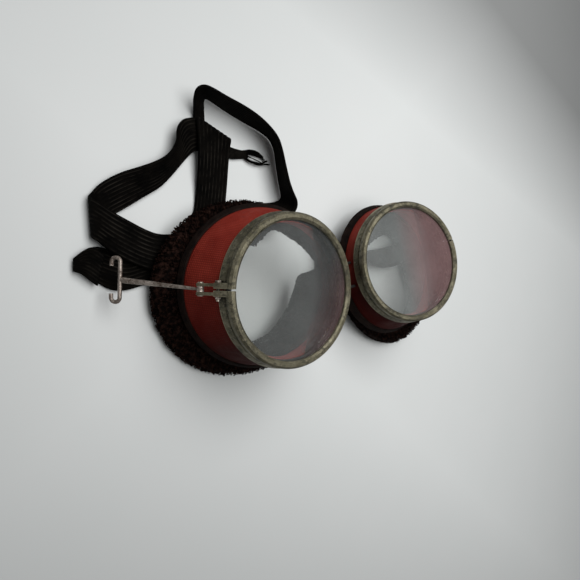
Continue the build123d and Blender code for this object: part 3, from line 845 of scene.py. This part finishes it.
class Shader:
    """A material's node tree, with short calls for the nodes that are used here."""

    def __init__(self, name):
        self.material = bpy.data.materials.new(name)
        self.material.use_nodes = True
        self.tree = self.material.node_tree
        self.surface = self.tree.nodes["Principled BSDF"]
        self.coordinates = self.tree.nodes.new("ShaderNodeTexCoord")

    def node(self, kind, **inputs):
        """A new node, with its inputs of these names set."""
        node = self.tree.nodes.new(kind)
        for key, value in inputs.items():
            self.put(node.inputs[key.replace("_", " ")], value)
        return node

    def put(self, socket, value):
        """Link another socket to this one, or set its value."""
        if isinstance(value, bpy.types.NodeSocket):
            self.tree.links.new(value, socket)
        else:
            socket.default_value = value

    def noise(self, scale, detail, rough, stretch=None):
        """Clouds from 0 to 1, about scale to the metre; stretch multiplies that in x, y and z."""
        coords = self.coordinates.outputs["Object"]
        if stretch:
            mapping = self.node("ShaderNodeMapping", Vector=coords, Scale=stretch)
            coords = mapping.outputs["Vector"]
        shape = {"Scale": scale, "Detail": detail, "Roughness": rough}
        return self.node("ShaderNodeTexNoise", Vector=coords, **shape).outputs["Fac"]

    def along(self, direction):
        """How far a point lies along this direction, in the model's metres."""
        node = self.tree.nodes.new("ShaderNodeVectorMath")
        node.operation = "DOT_PRODUCT"
        self.put(node.inputs[0], self.coordinates.outputs["Object"])
        self.put(node.inputs[1], direction)
        return node.outputs["Value"]

    def levels(self, value, low, high, out_low=0.0, out_high=1.0):
        """The value, taken from the range low to high into the other one."""
        node = self.tree.nodes.new("ShaderNodeMapRange")
        for socket, number in zip(node.inputs, (value, low, high, out_low, out_high)):
            self.put(socket, number)
        return node.outputs["Result"]

    def mix(self, factor, first, second):
        """The first colour at factor 0 and the second at 1."""
        node = self.tree.nodes.new("ShaderNodeMix")
        node.data_type = "RGBA"
        self.put(node.inputs["Factor"], factor)
        for socket, value in ((node.inputs[6], first), (node.inputs[7], second)):
            if isinstance(value, tuple) and len(value) == 3:
                value = (*value, 1)
            self.put(socket, value)
        return node.outputs[2]

    def math(self, kind, first, second=0.0):
        """A sum, product or other function of one or two values."""
        node = self.tree.nodes.new("ShaderNodeMath")
        node.operation = kind
        self.put(node.inputs[0], first)
        self.put(node.inputs[1], second)
        return node.outputs[0]

    def wave(self, coords, scale, direction="X", distortion=0.0):
        """Bands from 0 to 1, side by side in this direction."""
        node = self.node("ShaderNodeTexWave", Vector=coords, Scale=scale, Distortion=distortion)
        node.bands_direction = direction
        return node.outputs["Fac"]

    def bump(self, height, depth, strength, normal=None):
        """The surface's normal, or another one, tilted as if this height were depth metres deep."""
        node = self.node("ShaderNodeBump", Height=height, Strength=strength, Distance=depth)
        if normal is not None:
            self.put(node.inputs["Normal"], normal)
        return node.outputs["Normal"]

    def finish(self, **inputs):
        """The material, with its surface's inputs of these names set."""
        for key, value in inputs.items():
            if isinstance(value, tuple) and len(value) == 3:
                value = (*value, 1)
            self.put(self.surface.inputs[key.replace("_", " ")], value)
        return self.material


def old_metal(name, bright, dull, stain, stain_share, grain, roughness):
    """Worn plated metal: a dull base, rubbed places and edges with painted highlights, dark stains,
    and dirt with painted shade in the corners.
    """
    m = Shader(name)
    rubbed_and_highlight = tuple(min(1, v * RUBBED_AND_GLINT) for v in bright)
    cloud = m.noise(150, detail=8, rough=0.7)
    colour = m.mix(m.levels(cloud, 0.4, 0.62), dull, bright)
    blotch = m.noise(420, detail=10, rough=0.75)
    clean_share = 1 - stain_share
    colour = m.mix(m.levels(blotch, clean_share, clean_share + 0.1), colour, stain)
    specks = m.levels(m.noise(1700, detail=3, rough=0.5), 0.6, 0.72, 0, 0.6)
    colour = m.mix(specks, colour, tuple(v * SPECKED for v in stain))
    # Rubbed spots that also carry painted glints.
    colour = m.mix(m.levels(m.noise(1300, detail=2, rough=0.5), 0.62, 0.7, 0, 0.5), colour, rubbed_and_highlight)
    # Painted highlight along sharp edges, partly rubbed metal.
    edge = m.node("ShaderNodeAmbientOcclusion", Distance=0.0006)
    edge.inside = True
    edge = m.levels(edge.outputs["AO"], 0.35, 0.7, 0.8, 0)
    colour = m.mix(m.math("MULTIPLY", edge, m.levels(cloud, 0.35, 0.55)), colour, rubbed_and_highlight)
    # Darker in corners and recesses: partly dirt, partly painted shade.
    corner = m.node("ShaderNodeAmbientOcclusion", Distance=0.0018)
    corner = m.levels(corner.outputs["AO"], 0.35, 0.85, 0.85, 0)
    colour = m.mix(corner, colour, tuple(v * CORNER_DIRT_AND_SHADE for v in stain))
    shine = m.levels(blotch, 0.3, 0.75, roughness - 0.1, roughness + 0.25)
    metal = m.levels(blotch, clean_share - 0.05, clean_share + 0.15, 0.9, 0.3)
    fine = m.noise(grain, detail=6, rough=0.7)
    relief = m.math("ADD", fine, m.math("MULTIPLY", blotch, 2.0))
    normal = m.bump(relief, depth=0.00015, strength=0.6)
    return m.finish(Base_Color=colour, Roughness=shine, Metallic=metal, Normal=normal)


def red_cloth(name, shade_from):
    """Red coated cloth with painted shade, ever darker in -Y from the given start, in metres."""
    m = Shader(name)
    uv = m.coordinates.outputs["UV"]
    grime = m.noise(90, detail=6, rough=0.65)
    colour = m.mix(m.levels(grime, 0.35, 0.7), RED_FRESH, RED_WORN)
    blot = m.noise(260, detail=5, rough=0.6)
    colour = m.mix(m.levels(blot, 0.6, 0.75, 0, 0.6), colour, RED_BLOT)
    warp = m.wave(uv, 0.42, "X")
    weft = m.wave(uv, 0.42, "Y")
    weave = m.math("MULTIPLY", warp, weft)
    colour = m.mix(m.levels(weave, 0.02, 0.45, 0.55, 0), colour, RED_WEAVE)
    normal = m.bump(weave, depth=0.00014, strength=0.7)
    normal = m.bump(m.noise(420, detail=5, rough=0.6), depth=0.00025, strength=0.5, normal=normal)
    # Painted shade: the cloth grows darker towards -Y, the side turned from the lamp.
    mask = m.levels(m.along((0, -1, 0)), shade_from, shade_from + RED_SHADE_REACH, 0, 0.93)
    colour = m.mix(mask, colour, RED_PAINTED_SHADE)
    shine = m.levels(grime, 0.3, 0.7, 0.45, 0.65)
    return m.finish(Base_Color=colour, Roughness=shine, Normal=normal, Specular_IOR_Level=0.02)


def pile_cloth():
    """Dark brown pile, lighter in tufts."""
    m = Shader("pile")
    tone = m.noise(700, detail=4, rough=0.6)
    colour = m.mix(m.levels(tone, 0.44, 0.72), *PILE)
    normal = m.bump(m.noise(2500, detail=3, rough=0.6), depth=0.0002, strength=0.8)
    return m.finish(Base_Color=colour, Roughness=0.7, Normal=normal, Specular_IOR_Level=0.03)


def tape_cloth():
    """Brown woven tape with slanting threads."""
    m = Shader("tape")
    uv = m.coordinates.outputs["UV"]
    tone = m.noise(400, detail=5, rough=0.6)
    colour = m.mix(m.levels(tone, 0.3, 0.7), *TAPE)
    threads = m.wave(uv, 1.3, "DIAGONAL")
    normal = m.bump(threads, depth=0.0001, strength=0.7)
    return m.finish(Base_Color=colour, Roughness=0.8, Normal=normal, Specular_IOR_Level=0.06)


def webbing_cloth():
    """Black elastic webbing, with painted highlights along its ribs."""
    m = Shader("webbing")
    uv = m.coordinates.outputs["UV"]
    tone = m.noise(160, detail=6, rough=0.65)
    colour = m.mix(m.levels(tone, 0.35, 0.7), *WEBBING)
    # Painted highlight lines along the band, in patches.
    ridge = m.levels(m.wave(uv, 0.231, "Y"), 0.72, 1)
    highlight_patches = m.levels(m.noise(110, detail=5, rough=0.7), 0.44, 0.68)
    colour = m.mix(m.math("MULTIPLY", ridge, highlight_patches), colour, WEBBING_RIB_HIGHLIGHT)
    threads = m.wave(uv, 0.9, "X", 1.5)
    normal = m.bump(threads, depth=0.00012, strength=0.6)
    normal = m.bump(m.noise(1800, detail=3, rough=0.6), depth=0.0001, strength=0.5, normal=normal)
    return m.finish(Base_Color=colour, Roughness=0.7, Normal=normal, Specular_IOR_Level=0.03)


def leather():
    """Dark brown leather with a fine grain."""
    m = Shader("leather")
    tone = m.noise(250, detail=6, rough=0.65)
    colour = m.mix(m.levels(tone, 0.35, 0.7), *LEATHER_COLOURS)
    cells = m.node("ShaderNodeTexVoronoi", Vector=m.coordinates.outputs["Object"], Scale=1600)
    normal = m.bump(cells.outputs["Distance"], depth=0.0001, strength=0.6)
    return m.finish(Base_Color=colour, Roughness=0.5, Normal=normal)


def lens_glass(name, least, most, way, start, end):
    """Old glass under a film, least to most dense, that turns pink along way, start to end, as
    painted red light of the cloth inside the cup.
    """
    m = Shader(name)
    film = m.noise(60, detail=6, rough=0.65)
    mask = m.noise(700, detail=6, rough=0.7)
    scratches = m.noise(220, detail=2, rough=0.5, stretch=(1, 14, 1))
    # The film is haze, and where it is dense a painted reflection too.
    haze_and_reflection = m.levels(film, 0.3, 0.7, least, most)
    specks = m.levels(mask, 0.64, 0.72, 0, 0.12)
    lines = m.levels(scratches, 0.66, 0.69, 0, 0.05)
    haze_and_reflection = m.math("ADD", haze_and_reflection, m.math("ADD", specks, lines))
    clear = m.node("ShaderNodeBsdfTransparent", Color=GLASS_TINT)
    # The film's pink is painted red light of the cloth inside the cup.
    painted_red_light = m.mix(m.levels(m.along(way), start, end), FILM, FILM_PAINTED_RED_LIGHT)
    film_and_painted_light = m.node("ShaderNodeBsdfDiffuse", Color=painted_red_light)
    gloss = m.node("ShaderNodeBsdfGlossy", Roughness=0.08)
    fresnel = m.node("ShaderNodeFresnel", IOR=GLASS_INDEX)
    film_mix = m.node("ShaderNodeMixShader", Fac=haze_and_reflection)
    m.put(film_mix.inputs[1], clear.outputs[0])
    m.put(film_mix.inputs[2], film_and_painted_light.outputs[0])
    top_mix = m.node("ShaderNodeMixShader", Fac=fresnel.outputs[0])
    m.put(top_mix.inputs[1], film_mix.outputs[0])
    m.put(top_mix.inputs[2], gloss.outputs[0])
    m.put(m.tree.nodes["Material Output"].inputs["Surface"], top_mix.outputs[0])
    m.tree.nodes.remove(m.surface)
    return m.material


def plain_dark(name, first, second, roughness, metallic):
    """A dark surface that varies between two colours."""
    m = Shader(name)
    tone = m.noise(300, detail=6, rough=0.65)
    colour = m.mix(m.levels(tone, 0.35, 0.65), first, second)
    normal = m.bump(m.noise(1200, detail=5, rough=0.6), depth=0.0001, strength=0.5)
    return m.finish(Base_Color=colour, Roughness=roughness, Metallic=metallic, Normal=normal)


def lining():
    """Dull red coat on the inside of the cup, with fine rings."""
    m = Shader("red_lining")
    tone = m.noise(180, detail=5, rough=0.6)
    colour = m.mix(m.levels(tone, 0.35, 0.65), *LINING)
    rings = m.math("SINE", m.math("MULTIPLY", m.along((0, 0, 1)), 2 * math.pi / LINING_PITCH))
    colour = m.mix(m.levels(rings, 0, 0.8, 0, 0.7), colour, LINING_RING)
    return m.finish(Base_Color=colour, Roughness=0.7, Specular_IOR_Level=0.1)


MATERIALS = {
    "rim": old_metal("rim_metal", **METALS["rim"]),
    "steel": old_metal("steel", **METALS["steel"]),
    "wire": old_metal("wire", **METALS["wire"]),
    "lining": lining(),
    "dark_wire": plain_dark(
        "dark_wire", (0.006, 0.005, 0.004), (0.016, 0.011, 0.009), roughness=0.75, metallic=0.1
    ),
    "washer": plain_dark(
        "washer", (0.02, 0.02, 0.02), (0.04, 0.04, 0.038), roughness=0.8, metallic=0.0
    ),
    "left_glass": lens_glass(
        "left_lens_glass", least=0.045, most=0.075, way=(0.85, -0.53, 0), start=-0.022, end=-0.01
    ),
    # The right glass's denser film is partly haze and partly a painted soft reflection.
    "right_glass": lens_glass(
        "right_lens_glass", least=0.11, most=0.18, way=(1, 0, 0), start=0.03, end=0.045
    ),
    # The two reds differ only in where their painted shade starts.
    "left_red": red_cloth("left_red_cloth", shade_from=-0.015),
    "right_red": red_cloth("right_red_cloth", shade_from=-0.0215),
    "pile": pile_cloth(),
    "tape": tape_cloth(),
    "webbing": webbing_cloth(),
    "leather": leather(),
}
CAD_MATERIALS = {
    "rim": "rim",
    "clamp_screw": "steel",
    "clamp_nut": "steel",
    "hook_pin": "steel",
    "hook": "wire",
    "nose_loop": "dark_wire",
    "collar": "lining",
    "gasket": "washer",
}


def dress_cad():
    """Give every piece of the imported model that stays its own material."""
    for name in ("left", "right"):
        for part, key in CAD_MATERIALS.items():
            for slot in bpy.data.objects[f"{name}_{part}"].material_slots:
                slot.material = MATERIALS[key]
        for slot in bpy.data.objects[f"{name}_lens"].material_slots:
            slot.material = MATERIALS[f"{name}_glass"]


def make_stage():
    """The floor with painted shade, one large soft lamp and a dim sky."""
    size = FLOOR_SIZE
    corners = [(-size, -size, 0), (size, -size, 0), (size, size, 0), (-size, size, 0)]
    floor = mesh_piece("floor", corners, [(0, 1, 2, 3)])
    m = Shader("floor")
    tone = m.noise(30, detail=3, rough=0.5)
    colour = m.mix(m.levels(tone, 0.3, 0.7), *FLOOR)
    # Painted shade: the floor darkens along each of these directions.
    for way, start, end, share, shade in FLOOR_PAINTED_SHADE:
        colour = m.mix(m.levels(m.along(way), start, end, 0, share), colour, shade)
    floor.data.materials.append(m.finish(Base_Color=colour, Roughness=0.65))
    data = bpy.data.lights.new("window", "AREA")
    data.shape = "RECTANGLE"
    data.size, data.size_y = WINDOW_SIZE
    data.energy = WINDOW_POWER
    window = bpy.data.objects.new("window", data)
    bpy.context.scene.collection.objects.link(window)
    window.location = WINDOW_PLACE
    window.rotation_euler = (-window.location).to_track_quat("-Z", "Y").to_euler()
    world = bpy.data.worlds.new("world")
    world.use_nodes = True
    sky = world.node_tree.nodes["Background"]
    sky.inputs["Color"].default_value = (1, 1, 1, 1)
    sky.inputs["Strength"].default_value = SKY_STRENGTH
    bpy.context.scene.world = world
    bpy.context.scene.view_settings.view_transform = "Standard"


make_camera()
make_strap()
for cup_name, cup_sizes in CUPS.items():
    make_pad(cup_name, cup_sizes, f"{cup_name}_cup")
    make_side(cup_name, cup_sizes, f"{cup_name}_cup")
    make_binding(cup_name, cup_sizes, f"{cup_name}_cup")
make_tongue("right", CUPS["right"], "right_cup")
make_tab()
dress_cad()
make_stage()
